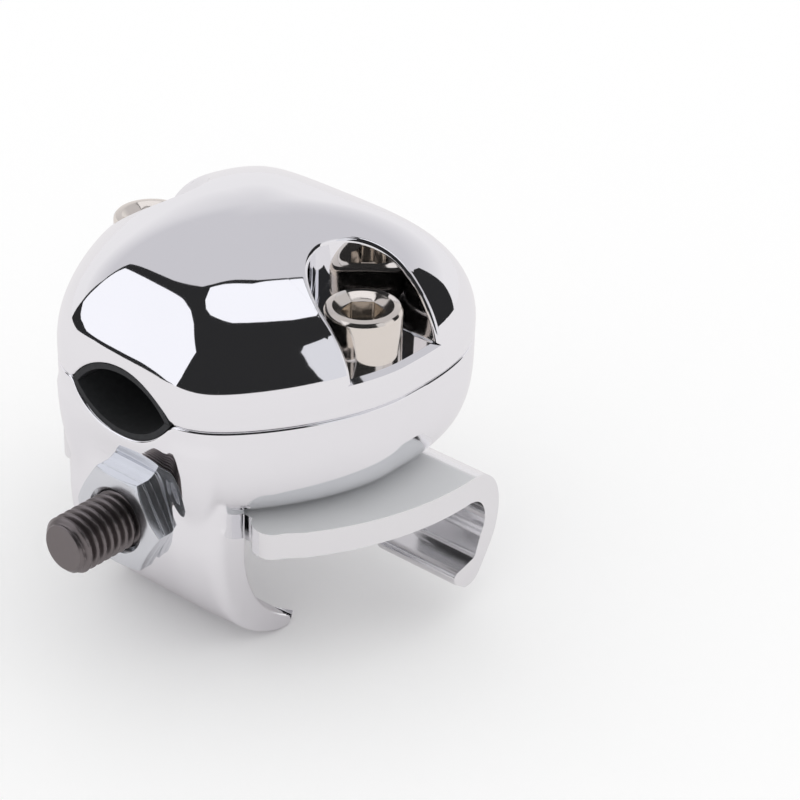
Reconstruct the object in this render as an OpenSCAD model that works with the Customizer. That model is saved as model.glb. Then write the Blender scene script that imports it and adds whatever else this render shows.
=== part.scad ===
// Two-part bar clamp with a sliding claw that grips the edge of a flat rail.
// +X points to the right cap screw, +Y away from the stud's free end, +Z up out of the cap.
// The origin is on the split face, on the bar's centre line, midway between the cap screws.

/* [Body] */
// Half of the body's width
body_half_w = 25.3; // [24.5:0.1:28]
// Distance behind the origin of the point about which the body's outline is drawn
centre_set = 1; // [0:0.1:2]
// Length of the outline's front half before it is cut flat
nose_len = 31.3; // [28:0.1:34]
// Roundness of the outline's front half, 2 for an ellipse
nose_power = 1.65; // [1.5:0.05:2]
// Length of the outline's rear half before it is cut flat
tail_len = 26.5; // [25.5:0.1:30]
// Roundness of the outline's rear half, 2 for an ellipse
tail_power = 2.9; // [2:0.1:3.2]
// Distance of the flat front face from the origin
front_face = 25.1; // [24.3:0.1:26]
// Distance of the flat rear face from the origin
rear_face = 25.1; // [24.3:0.1:26]
// Sharpness of the corners beside the flat faces
corner_power = 16; // [12:1:24]

/* [Cap] */
// Height of the upright belt above the split face
belt_h = 2; // [1:0.1:3]
// Height of the dome above the belt
dome_h = 16.9; // [14:0.1:19]
// Roundness of the dome, 2 for an ellipse
dome_power = 2.13; // [1.9:0.01:2.5]

/* [Base] */
// Height of the base from its flat underside to the split face
base_h = 15; // [14:0.1:17]
// How far the base draws in between the split face and its underside
base_draw = 11; // [7:0.1:11.5]
// Roundness of the base's side, 2 for an ellipse
base_power = 3.3; // [2.4:0.1:4]
// Depth below the split face at which the front face starts to step back
step_top = 5.4; // [5.2:0.1:6]
// Depth below the split face at which the step meets the leg's front
step_bottom = 9.5; // [7:0.1:9.5]

/* [Bar bore] */
// Radius of the saddle cut in each half
saddle_r = 10.4; // [10:0.1:11.5]
// Half of the bore's width at the split face
bore_half_w = 8.8; // [7.8:0.1:9]
// Thickness of the rubber liners
liner_t = 0.8; // [0.5:0.1:1.2]
// How far the liners stop short of the body's flat faces
liner_inset = 0.6; // [0.2:0.1:1.5]

/* [Cap screws] */
// Depth of the threaded holes below the screws' tips
thread_spare = 1; // [0.5:0.1:1.2]
// Distance of the cap screws' axes from the body's sides
screw_inset = 6.4; // [5.8:0.1:6.8]
// Thread diameter of the cap screws
screw_d = 6; // [5:0.5:6]
// Diameter of the screw heads
screw_head_d = 10.2; // [9:0.1:10.5]
// Height of the screw heads
screw_head_h = 6.4; // [5:0.1:6.5]
// Length of the screws below the head
screw_len = 16; // [14:1:16]
// Size across the flats of the hex socket
socket_af = 5; // [4:0.5:5]
// Depth of the hex socket
socket_depth = 3; // [2.5:0.1:4]
// Diameter of the mouth that leads into the hex socket
socket_mouth_d = 7.2; // [6.8:0.1:7.6]
// Height of the pocket floors above the split face
pocket_floor = 4.8; // [4.8:0.1:6]
// Mean gap between a screw head and its pocket's wall
pocket_gap = 2.3; // [1.5:0.1:3]
// Distance of the pockets' middle behind the screws' axes
pocket_set = 0.5; // [0:0.1:0.8]
// Width of the chamfers on the screws
screw_chamfer = 0.4; // [0.2:0.1:0.8]

/* [Leg] */
// How far the leg's front face stands back from the body's flat front face
leg_set = 1.7; // [1.4:0.1:2.1]
// Thickness of the leg
leg_t = 7.2; // [6:0.1:7.5]
// Half of the leg's width
leg_half_w = 13.8; // [12:0.1:15]
// Half of the width of the leg's flat front, which the nut bears on
leg_seat_w = 7.6; // [7.6:0.1:9]
// Radius of the leg's front beside the flat
leg_bow_r = 40; // [25:1:100]
// Radius of the leg's upright front corners
leg_corner_r = 2.5; // [1:0.1:3]
// Depth below the split face at which the leg's outside begins to curl
curl_out_z = 18.1; // [17:0.1:19]
// Radius of the outside of the leg's hook
curl_out_r = 19; // [18:0.1:20]
// Depth below the split face at which the leg's inside begins to curl
curl_in_z = 20.8; // [20:0.1:21.5]
// Radius of the inside of the leg's hook
curl_in_r = 15.6; // [15:0.1:16.5]
// Turn of the leg's inside before its tip, in degrees
curl_turn = 62; // [55:1:66]
// Radius of the hook's tip
tip_r = 1.1; // [0.9:0.1:1.3]

/* [Claw] */
// Thickness of the claw's plate
plate_t = 3.8; // [3:0.1:4.4]
// Half of the plate's width at its widest place
plate_half_w = 29.3; // [27:0.1:32]
// Distance of the plate's widest place behind the origin
plate_wide_y = 9.4; // [7:0.1:12]
// Radius of the plate's curved sides
plate_side_r = 39.7; // [38:0.1:60]
// Distance of the ends of the plate's horns in front of the origin
horn_front = 17.6; // [17:0.1:18.5]
// Radius of the horns' outer corners
horn_r = 3; // [1.5:0.1:3.2]
// Distance of the fingers' outside behind the origin
finger_back = 18.1; // [17:0.1:20]
// Distance between the fingers' inner sides
finger_gap = 31; // [29:0.1:36]
// Depth of the fingers' underside below the plate's top
finger_depth = 17; // [16.5:0.1:19]
// Outer radius of the bend at the top of the fingers
bend_r = 7.6; // [7:0.1:8]
// Outer radius of the bend at the bottom of the fingers
low_bend_r = 3.3; // [3:0.1:3.6]
// Distance of the lower bend's centre behind the origin
low_bend_y = 11; // [10:0.1:12]
// Distance of the lips' tips behind the origin
lip_y = 7.9; // [6.5:0.1:8.5]
// Radius of the lips' tips
lip_r = 1.1; // [0.9:0.1:1.2]
// Thickness of the fingers at the lower bend
lip_t = 3.9; // [3.5:0.1:4.2]
// Radius of the fingers' lower inner corners
finger_corner_r = 3; // [1:0.1:5]
// Diameter of the barrel that holds the stud
barrel_d = 13; // [12:0.1:14]
// Distance of the barrel's closed end behind the origin
barrel_back = 13; // [10:0.1:14]
// Thickness of the barrel's flat floor under the stud
barrel_floor = 1; // [0.8:0.1:2]

/* [Stud and nut] */
// Thread diameter of the stud
stud_d = 8; // [7:0.5:8]
// Length of the stud
stud_len = 40; // [37:1:43]
// Distance of the stud's free end in front of the origin
stud_front = 35.2; // [33:0.1:38]
// Chamfer at the stud's ends
stud_chamfer = 0.9; // [0.4:0.1:1.2]
// Size across the flats of the nut
nut_af = 13; // [12:0.5:13]
// Thickness of the nut
nut_t = 2.8; // [2.5:0.1:4]
// Height of the chamfer on the nut's corners
nut_chamfer = 0.5; // [0.2:0.1:0.8]

/* [Fits] */
// Radial clearance of a screw or stud in its thread
thread_clear = 0.05; // [0.02:0.01:0.1]
// Radial clearance of a screw or stud in a plain hole
hole_clear = 0.3; // [0.2:0.05:0.5]
// Clearance between the claw and the base
claw_clear = 0.1; // [0.05:0.05:0.3]
// Gap between the leg and the claw when the claw is fully drawn in
notch_clear = 0.4; // [0.3:0.1:0.6]
// Gap around the rubber liners
liner_clear = 0.03; // [0.02:0.01:0.1]

/* [Hidden] */

chrome = [0.86, 0.86, 0.88];
nickel = [0.80, 0.76, 0.71];
zinc = [0.74, 0.78, 0.83];
black_steel = [0.33, 0.31, 0.31];
rubber = [0.08, 0.08, 0.09];

eps = 0.01;
round_fn = 96;
small_fn = 48;
outline_step = 5;      // degrees between the outline's points
ring_steps = 14;       // rings from a belt to a pole or an underside
arc_steps = 5;         // steps along a small corner
side_steps = 11;       // steps along a large arc
crown = 0.04;          // size of the dome's last ring

saddle_drop = sqrt(pow(saddle_r, 2) - pow(bore_half_w, 2));
screw_x = body_half_w - screw_inset;
thread_depth = screw_len - pocket_floor + thread_spare;
pocket_r = screw_head_d / 2 + pocket_gap;
reach = 2 * (body_half_w + nose_len);

plate_top = -base_h - claw_clear;
plate_bottom = plate_top - plate_t;
stud_z = plate_top - plate_t / 2;
stud_back = stud_len - stud_front;
leg_front = front_face - leg_set;
leg_back = leg_front - leg_t;
notch_y = -leg_back + notch_clear;
barrel_r = barrel_d / 2;

// Points of an arc about c, from angle a0 to a1.
function arc(c, r, a0, a1, steps) = [
    for (i = [0:steps]) let (a = a0 + (a1 - a0) * i / steps) c + r * [cos(a), sin(a)]
];
function mirrored(points) = [for (i = [len(points) - 1:-1:0]) [-points[i].x, points[i].y]];

// Distance from the outline's centre to the outline at angle a: an oval of its own length
// and roundness in front and behind, cut by a flat face with rounded corners.
function outline_reach(a) = let (
    front = sin(a) < 0,
    power = front ? nose_power : tail_power,
    length = front ? nose_len : tail_len,
    flat = front ? front_face + centre_set : rear_face - centre_set,
    oval = pow(pow(abs(cos(a)) / body_half_w, power) + pow(abs(sin(a)) / length, power), 1 / power)
) pow(pow(oval, corner_power) + pow(abs(sin(a)) / flat, corner_power), -1 / corner_power);

// Solid through rings [size, z], from the bottom up, each the outline at that size.
module lofted(rings) {
    angles = [0:outline_step:360 - outline_step];
    n = len([for (a = angles) a]);
    m = len(rings);
    points = [
        for (ring = rings) for (a = angles)
            [ring[0] * outline_reach(a) * cos(a), centre_set + ring[0] * outline_reach(a) * sin(a), ring[1]]
    ];
    sides = [
        for (k = [0:m - 2]) for (i = [0:n - 1])
            let (j = (i + 1) % n)
            each [
                [k * n + i, (k + 1) * n + i, (k + 1) * n + j],
                [k * n + i, (k + 1) * n + j, k * n + j]
            ]
    ];
    bottom = [for (i = [0:n - 1]) i];
    top = [for (i = [n - 1:-1:0]) (m - 1) * n + i];
    polyhedron(points, concat([bottom], sides, [top]), convexity = 6);
}

// Upright belt above the split face, then the dome.
module dome_solid() {
    turn = 90 / ring_steps;
    lofted(concat(
        [[1, 0]],
        [
            for (i = [0:ring_steps - 1])
                [pow(cos(i * turn), 2 / dome_power), belt_h + dome_h * pow(sin(i * turn), 2 / dome_power)]
        ],
        [[crown, belt_h + dome_h]]
    ));
}

// Side that draws in below the split face, down to the flat underside.
module bowl_solid() {
    turn = 90 / ring_steps;
    draw = base_draw / body_half_w;
    lofted([
        for (i = [ring_steps:-1:0])
            [1 - draw * (1 - pow(cos(i * turn), 2 / base_power)), -base_h * pow(sin(i * turn), 2 / base_power)]
    ]);
}

// Cylinder along Y between y0 and y1.
module y_cylinder(r, y0, y1, fn = round_fn) {
    translate([0, y1, 0])
        rotate([90, 0, 0])
            cylinder(r = r, h = y1 - y0, $fn = fn);
}

// Profile with points [y, z], extruded along X between x0 and x1.
module x_profile(points, x0, x1) {
    translate([x0, 0, 0])
        rotate([90, 0, 90])
            linear_extrude(x1 - x0)
                polygon(points);
}

// Saddle for the bar in the half that lies on side s of the split face.
module saddle_cut(s) {
    translate([0, 0, -s * saddle_drop])
        y_cylinder(saddle_r, -reach, reach);
}

module at_screws() {
    for (s = [-1, 1])
        translate([s * screw_x, 0, 0])
            children();
}

// U-shaped pocket that opens to side s, with its round end round the screw.
module pocket_cut(s) {
    translate([s * screw_x, pocket_set, pocket_floor]) {
        cylinder(r = pocket_r, h = reach, $fn = round_fn);
        translate([s > 0 ? 0 : -reach, -pocket_r, 0])
            cube([reach, 2 * pocket_r, reach]);
    }
}

module cap() {
    color(chrome)
    difference() {
        dome_solid();
        saddle_cut(1);
        for (s = [-1, 1])
            pocket_cut(s);
        at_screws()
            translate([0, 0, -eps])
                cylinder(d = screw_d + 2 * hole_clear, h = pocket_floor + 1, $fn = small_fn);
    }
}

// Side view of the leg: straight down, then a hook that curls to the rear.
function leg_profile() = let (
    c_in = [-leg_back + curl_in_r, -curl_in_z],
    c_out = [-leg_front + curl_out_r, -curl_out_z],
    tip = c_in + (curl_in_r + tip_r) * [cos(180 + curl_turn), sin(180 + curl_turn)],
    out_end = atan2(tip.y - c_out.y, tip.x - c_out.x) - 2,
    top = -step_top
) concat(
    [[-leg_back, top]],
    arc(c_in, curl_in_r, 180, 180 + curl_turn, side_steps),
    arc(tip, tip_r, curl_turn, -90 + curl_turn / 3, arc_steps),
    arc(c_out, curl_out_r, 360 + out_end, 180, side_steps),
    [[-leg_front, top]]
);

// Leg seen from above: flat seat for the nut, bowed beside it, rounded front corners.
module leg_plan() {
    c = [0, -leg_front + sqrt(pow(leg_bow_r, 2) - pow(leg_seat_w, 2))];
    corner_x = leg_half_w - leg_corner_r;
    corner_y = c.y - sqrt(pow(leg_bow_r - leg_corner_r, 2) - pow(corner_x, 2));
    a0 = atan2(-leg_front - c.y, leg_seat_w);
    a1 = atan2(corner_y - c.y, corner_x);
    right = concat(
        arc(c, leg_bow_r, a0, a1, arc_steps),
        arc([corner_x, corner_y], leg_corner_r, a1, 0, arc_steps),
        [[leg_half_w, curl_in_r]]
    );
    polygon(concat(right, mirrored(right)));
}

module leg() {
    intersection() {
        x_profile(leg_profile(), -leg_half_w, leg_half_w);
        translate([0, 0, -reach])
            linear_extrude(reach)
                leg_plan();
    }
}

// Material in front of the leg, taken away below the bore's rim.
module step_cut() {
    x_profile([
        [-front_face - eps, -step_top], [-leg_front, -step_bottom], [-leg_front, -reach],
        [-reach, -reach], [-reach, -step_top]
    ], -reach, reach);
}

// Keyway under the base for the claw's barrel, open to the rear.
module keyway_cut() {
    r = barrel_r + claw_clear;
    translate([0, 0, stud_z])
        y_cylinder(r, -leg_back, reach);
    translate([-r, -leg_back, stud_z])
        cube([2 * r, reach, -base_h - stud_z]);
}

module base() {
    color(chrome)
    difference() {
        union() {
            difference() {
                bowl_solid();
                step_cut();
            }
            leg();
        }
        saddle_cut(-1);
        keyway_cut();
        at_screws()
            translate([0, 0, -thread_depth])
                cylinder(r = screw_d / 2 + thread_clear, h = thread_depth + eps, $fn = small_fn);
        translate([0, 0, stud_z])
            y_cylinder(stud_d / 2 + hole_clear, -leg_front - eps, -leg_back + eps, small_fn);
    }
}

// Rubber half shell in the saddle on side s of the split face.
module liner(s) {
    y0 = -front_face + liner_inset;
    y1 = rear_face - liner_inset;
    color(rubber)
    difference() {
        translate([0, 0, -s * saddle_drop])
            y_cylinder(saddle_r - liner_clear, y0, y1);
        translate([0, 0, -s * saddle_drop])
            y_cylinder(saddle_r - liner_t, y0 - 1, y1 + 1);
        translate([-reach, y0 - 1, s > 0 ? liner_clear - reach : -liner_clear])
            cube([2 * reach, y1 - y0 + 2, reach]);
    }
}

module upper_liner() {
    liner(1);
}

module lower_liner() {
    liner(-1);
}

// Socket head cap screw, its head standing on z = 0.
module cap_screw() {
    r = screw_head_d / 2;
    color(nickel)
    difference() {
        rotate_extrude($fn = round_fn)
            polygon([
                [0, -screw_len], [screw_d / 2 - screw_chamfer, -screw_len],
                [screw_d / 2, -screw_len + screw_chamfer], [screw_d / 2, 0],
                [r, 0], [r, screw_head_h - screw_chamfer],
                [r - screw_chamfer, screw_head_h], [0, screw_head_h]
            ]);
        translate([0, 0, screw_head_h - socket_depth])
            cylinder(d = socket_af / cos(30), h = socket_depth + 1, $fn = 6);
        translate([0, 0, screw_head_h - screw_chamfer])
            cylinder(d1 = socket_mouth_d - 2 * screw_chamfer, d2 = socket_mouth_d, h = screw_chamfer + eps,
                $fn = small_fn);
    }
}

module right_cap_screw() {
    translate([screw_x, 0, pocket_floor])
        cap_screw();
}

module left_cap_screw() {
    translate([-screw_x, 0, pocket_floor])
        cap_screw();
}

// Claw seen from above: curved sides, and a notch in front for the leg.
module claw_plan() {
    c = [plate_half_w - plate_side_r, plate_wide_y];
    a_front = asin((-horn_front + horn_r - plate_wide_y) / (plate_side_r - horn_r));
    a_back = asin((finger_back - plate_wide_y) / plate_side_r);
    horn = c + (plate_side_r - horn_r) * [cos(a_front), sin(a_front)];
    notch_x = leg_half_w + notch_clear;
    right = concat(
        [[0, notch_y], [notch_x, notch_y], [notch_x, -horn_front]],
        arc(horn, horn_r, -90, a_front, arc_steps),
        arc(c, plate_side_r, a_front, a_back, side_steps)
    );
    polygon(concat(right, mirrored(right)));
}

// Side view of a finger: plate, upper bend, leaning web, lower bend and lip.
function finger_profile() = let (
    bottom = plate_top - finger_depth,
    bend = [finger_back - bend_r, plate_top - bend_r],
    low = [low_bend_y, bottom + low_bend_r],
    lean = atan2(low.y - bend.y, low.x - bend.x) + acos((bend_r - low_bend_r) / norm(low - bend)),
    tip = [lip_y + lip_r, bottom + lip_r + low_bend_r / 3],
    inner = [low.x + low_bend_r / 5, bottom + lip_t + low_bend_r / 4]
) concat(
    [[0, plate_top]],
    arc(bend, bend_r, 90, lean, side_steps),
    arc(low, low_bend_r, lean, -105, arc_steps),
    arc(tip, lip_r, -120, -270, arc_steps),
    arc(inner, low_bend_r / 4, -90, lean, arc_steps),
    arc(bend, bend_r - plate_t, lean, 90, arc_steps),
    [[0, plate_bottom]]
);

// Finger on side s, with its lower inner corner rounded.
module finger(s) {
    inner_x = finger_gap / 2;
    bottom = plate_top - finger_depth;
    corner = [inner_x + finger_corner_r, bottom + finger_corner_r];
    face = concat(
        [[inner_x, plate_top]],
        arc(corner, finger_corner_r, 180, 270, arc_steps),
        [[plate_half_w, bottom], [plate_half_w, plate_top]]
    );
    intersection() {
        x_profile(finger_profile(), min(s * inner_x, s * plate_half_w), max(s * inner_x, s * plate_half_w));
        translate([0, finger_back, 0])
            rotate([90, 0, 0])
                linear_extrude(finger_back)
                    polygon(s > 0 ? face : mirrored(face));
    }
}

// Barrel for the stud, round on top and flat below, so that it clears the rail.
module barrel() {
    intersection() {
        translate([0, 0, stud_z])
            y_cylinder(barrel_r, notch_y, barrel_back);
        translate([-barrel_r, notch_y, stud_z - stud_d / 2 - barrel_floor])
            cube([barrel_d, barrel_back - notch_y, 2 * barrel_d]);
    }
}

module claw() {
    color(chrome)
    difference() {
        union() {
            intersection() {
                union() {
                    translate([-plate_half_w, -horn_front, plate_bottom])
                        cube([2 * plate_half_w, horn_front + finger_back - bend_r, plate_t]);
                    finger(-1);
                    finger(1);
                }
                translate([0, 0, -reach])
                    linear_extrude(reach)
                        claw_plan();
            }
            barrel();
        }
        translate([0, 0, stud_z])
            y_cylinder(stud_d / 2 + thread_clear, notch_y - eps, stud_back, small_fn);
    }
}

module claw_stud() {
    r = stud_d / 2;
    color(black_steel)
    translate([0, stud_back, stud_z])
        rotate([90, 0, 0])
            rotate_extrude($fn = small_fn)
                polygon([
                    [0, 0], [r - stud_chamfer, 0], [r, stud_chamfer],
                    [r, stud_len - stud_chamfer], [r - stud_chamfer, stud_len], [0, stud_len]
                ]);
}

// Thin hex nut against the leg, with its corners chamfered on the outside.
module claw_nut() {
    corner_r = nut_af / 2 / cos(30);
    color(zinc)
    translate([0, -leg_front, stud_z])
        rotate([90, 0, 0])
            difference() {
                intersection() {
                    cylinder(r = corner_r, h = nut_t, $fn = 6);
                    rotate_extrude($fn = small_fn)
                        polygon([
                            [0, 0], [corner_r, 0], [corner_r, nut_t - nut_chamfer],
                            [corner_r - nut_chamfer / tan(30), nut_t], [0, nut_t]
                        ]);
                }
                translate([0, 0, -eps])
                    cylinder(r = stud_d / 2 + thread_clear, h = nut_t + 2 * eps, $fn = small_fn);
            }
}

base();
lower_liner();
cap();
upper_liner();
right_cap_screw();
left_cap_screw();
claw();
claw_stud();
claw_nut();
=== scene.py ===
"""Chromed bar and rail clamp: the looks of the part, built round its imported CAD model."""
import math
import bmesh
import bpy
import numpy as np
from mathutils import Euler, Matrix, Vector


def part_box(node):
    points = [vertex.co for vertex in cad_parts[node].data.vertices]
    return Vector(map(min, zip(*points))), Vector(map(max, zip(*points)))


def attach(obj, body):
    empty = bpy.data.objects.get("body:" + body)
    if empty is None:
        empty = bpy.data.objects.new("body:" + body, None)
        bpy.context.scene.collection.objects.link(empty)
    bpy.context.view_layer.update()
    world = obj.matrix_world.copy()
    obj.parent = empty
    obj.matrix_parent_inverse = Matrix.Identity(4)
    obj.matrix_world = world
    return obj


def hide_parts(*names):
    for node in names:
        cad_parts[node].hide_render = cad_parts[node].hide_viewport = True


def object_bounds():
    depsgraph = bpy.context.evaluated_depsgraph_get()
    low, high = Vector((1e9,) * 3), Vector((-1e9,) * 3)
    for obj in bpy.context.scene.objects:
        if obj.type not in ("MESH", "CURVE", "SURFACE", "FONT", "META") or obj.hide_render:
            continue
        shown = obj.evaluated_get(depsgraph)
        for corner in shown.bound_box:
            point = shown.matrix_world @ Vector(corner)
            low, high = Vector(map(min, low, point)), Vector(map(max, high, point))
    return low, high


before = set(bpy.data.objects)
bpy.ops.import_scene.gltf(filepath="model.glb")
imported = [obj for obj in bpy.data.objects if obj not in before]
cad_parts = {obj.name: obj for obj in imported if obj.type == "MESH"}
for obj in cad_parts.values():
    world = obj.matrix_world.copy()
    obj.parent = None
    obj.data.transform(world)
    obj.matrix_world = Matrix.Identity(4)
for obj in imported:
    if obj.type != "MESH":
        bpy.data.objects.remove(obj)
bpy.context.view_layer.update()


# ---------------------------------------------------------------- the cap
# Upper half of the body: a chromed zinc casting with a belt, a dome and two open screw pockets.
# Made as smooth patches that share their edges; the cap screws hold it on the base.
# Sizes are in millimetres until put() turns them into metres.

def box_mm(node):
    """Lowest and highest corner of a CAD node, in millimetres."""
    return [np.array(corner) * 1000 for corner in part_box(node)]


cap_high = box_mm("cap")[1]
half_w = cap_high[0]                  # half width of the body
centre_y = 1.0                        # the outline is drawn about this point on the bar's axis
belt_h = 2.0                          # upright belt above the split face
dome_h = cap_high[2] - belt_h
dome_n = 2.13                         # roundness of the dome
corner_n = 16                         # sharpness of the corners beside the flat ends
front_oval = (1.65, 31.3, 26.1)       # roundness, length and flat of the outline's front half
rear_oval = (2.9, 26.5, 24.1)
saddle_r = 10.4
bore_half_w = 8.8                     # half width of the bore at the split face
saddle_drop = math.sqrt(saddle_r ** 2 - bore_half_w ** 2)
pocket_r = 7.4
pocket_y = 0.5                        # the pockets' round ends stand a little behind the screws
pocket_floor = 4.8
screw_x = sum(corner[0] for corner in box_mm("right_cap_screw")) / 2
rim = 0.45                            # size of the rounded edges at the split and the bore
roll = 0.7                            # width of the pockets' rolled rims
sill = 0.5                            # height of the bevel along their floors
weld = 2e-6                           # metres within which the points of two edges become one


def oval(y):
    """Roundness, length and flat of the outline's half in which y lies."""
    front = y < 0
    return [np.where(front, f, r) for f, r in zip(front_oval, rear_oval)]


def size_at(x, y):
    """Size of the outline through (x, y): an oval, cut flat by a much sharper power."""
    n, length, flat = oval(y)
    side = (np.abs(x) / half_w) ** n + (np.abs(y) / length) ** n
    return (side ** (corner_n / n) + (np.abs(y) / flat) ** corner_n) ** (1 / corner_n)


def x_at(size, y):
    """Half width, at y, of the outline of that size."""
    n, length, flat = oval(y)
    left = np.clip(size ** corner_n - (np.abs(y) / flat) ** corner_n, 0, None)
    return half_w * np.clip(left ** (n / corner_n) - (np.abs(y) / length) ** n, 0, None) ** (1 / n)


def dome_z(x, y):
    """Height of the dome over (x, y): a superellipse that stands on the belt."""
    return belt_h + dome_h * np.clip(1 - size_at(x, y) ** dome_n, 0, None) ** (1 / dome_n)


def dome_size(z):
    """Size of the dome's outline at height z, which is 1 along the belt."""
    return np.clip(1 - (np.clip(z - belt_h, 0, None) / dome_h) ** dome_n, 0, 1) ** (1 / dome_n)


def bezier(start, corner, end, steps=7):
    """Rounded edge: a quadratic curve from start to end, drawn towards the sharp corner."""
    t = np.linspace(0, 1, steps)[:, None, None]
    return (1 - t) ** 2 * start + 2 * t * (1 - t) * corner + t ** 2 * end


def ruled(a, b, steps):
    """Straight lines from the points a to the points b."""
    t = np.linspace(0, 1, steps)[:, None, None]
    return a + (b - a) * t


def patch(points, toward):
    """A grid of points and their normals, facing the way toward: the cross product of the slopes."""
    along, across = (np.gradient(points, axis=k, edge_order=2) for k in (0, 1))
    normal = np.cross(along, across)
    length = np.linalg.norm(normal, axis=2, keepdims=True)
    spare = normal.sum(axis=(0, 1))
    normal = np.where(length > 1e-9, normal, spare)
    normal = normal / np.linalg.norm(normal, axis=2, keepdims=True)
    if (normal.sum(axis=(0, 1)) * toward).sum() < 0:
        return points[:, ::-1], -normal[:, ::-1]
    return points, normal


def mirrored(patches):
    """The patches and their copies on the left."""
    flip = np.array([-1, 1, 1])
    return patches + [(p[:, ::-1] * flip, n[:, ::-1] * flip) for p, n in patches]


def put(name, patches, body, material, *nodes):
    """One closed mesh from patches, welded along their edges, each corner with its own normal."""
    start, corners, normals = 0, [], []
    for points, normal in patches:
        rows, columns = points.shape[:2]
        index = start + np.arange(rows * columns).reshape(rows, columns)
        quad = [index[:-1, :-1], index[1:, :-1], index[1:, 1:], index[:-1, 1:]]
        corners.append(np.stack(quad, -1).reshape(-1, 4))
        normals.append(normal.reshape(-1, 3))
        start += rows * columns
    quads, normals = np.concatenate(corners), np.concatenate(normals)
    vertices = np.concatenate([points.reshape(-1, 3) for points, _ in patches]) / 1000
    mesh = bpy.data.meshes.new(name)
    mesh.from_pydata(vertices, [], quads)
    mesh.attributes.new("smooth_normal", "FLOAT_VECTOR", "CORNER").data.foreach_set(
        "vector", normals[quads.ravel()].ravel().astype(np.float32))
    work = bmesh.new()
    work.from_mesh(mesh)
    bmesh.ops.remove_doubles(work, verts=work.verts, dist=weld)
    work.to_mesh(mesh)
    work.free()
    kept = np.empty(len(mesh.loops) * 3, np.float32)
    mesh.attributes["smooth_normal"].data.foreach_get("vector", kept)
    mesh.attributes.remove(mesh.attributes["smooth_normal"])
    mesh.shade_smooth()
    mesh.normals_split_custom_set(kept.reshape(-1, 3))
    return stand(bpy.data.objects.new(name, mesh), body, material, *nodes)


def stand(piece, body, material, *nodes):
    """The piece takes its finish, moves with the CAD body and stands for the CAD nodes."""
    bpy.context.scene.collection.objects.link(piece)
    piece.data.materials.append(material)
    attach(piece, body)
    if nodes:
        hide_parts(*nodes)
    return piece


# The plating group: one noise makes the tone, the polish and the faint waves of every metal vary.
plating = bpy.data.node_groups.new("plating", "ShaderNodeTree")
for label, kind in (("Colour", "Color"), ("Least Roughness", "Float"), ("Most Roughness", "Float"),
                    ("Scale", "Float"), ("Wave", "Float")):
    plating.interface.new_socket(label, in_out="INPUT", socket_type="NodeSocket" + kind)
for label, kind in (("Colour", "Color"), ("Roughness", "Float"), ("Normal", "Vector")):
    plating.interface.new_socket(label, in_out="OUTPUT", socket_type="NodeSocket" + kind)
nodes, links = plating.nodes, plating.links
given = nodes.new("NodeGroupInput").outputs
made = nodes.new("NodeGroupOutput").inputs
noise = nodes.new("ShaderNodeTexNoise")
noise.inputs["Detail"].default_value = 3
links.new(nodes.new("ShaderNodeTexCoord").outputs["Object"], noise.inputs["Vector"])
links.new(given["Scale"], noise.inputs["Scale"])
tone = nodes.new("ShaderNodeMix")
tone.data_type = "RGBA"
tone.blend_type = "MULTIPLY"
tone.inputs["B"].default_value = (0.96, 0.96, 0.96, 1)
links.new(noise.outputs["Fac"], tone.inputs["Factor"])
links.new(given["Colour"], tone.inputs["A"])
links.new(tone.outputs["Result"], made["Colour"])
polish = nodes.new("ShaderNodeMapRange")
links.new(noise.outputs["Fac"], polish.inputs["Value"])
links.new(given["Least Roughness"], polish.inputs["To Min"])
links.new(given["Most Roughness"], polish.inputs["To Max"])
links.new(polish.outputs["Result"], made["Roughness"])
ripple = nodes.new("ShaderNodeBump")
ripple.inputs["Distance"].default_value = 0.0002
links.new(noise.outputs["Fac"], ripple.inputs["Height"])
links.new(given["Wave"], ripple.inputs["Strength"])
links.new(ripple.outputs["Normal"], made["Normal"])


def metal(name, colour, rough, wave, scale):
    """Bare or plated metal, whose colour, polish and waves come from the plating group."""
    material = bpy.data.materials.new(name)
    material.use_nodes = True
    nodes, links = material.node_tree.nodes, material.node_tree.links
    shader = nodes["Principled BSDF"]
    shader.inputs["Metallic"].default_value = 1
    coat = nodes.new("ShaderNodeGroup")
    coat.name = "coat"
    coat.node_tree = plating
    coat.inputs["Colour"].default_value = (*colour, 1)
    coat.inputs["Least Roughness"].default_value = rough[0]
    coat.inputs["Most Roughness"].default_value = rough[1]
    coat.inputs["Scale"].default_value = scale
    coat.inputs["Wave"].default_value = wave
    links.new(coat.outputs["Colour"], shader.inputs["Base Color"])
    links.new(coat.outputs["Roughness"], shader.inputs["Roughness"])
    links.new(coat.outputs["Normal"], shader.inputs["Normal"])
    return material


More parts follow.
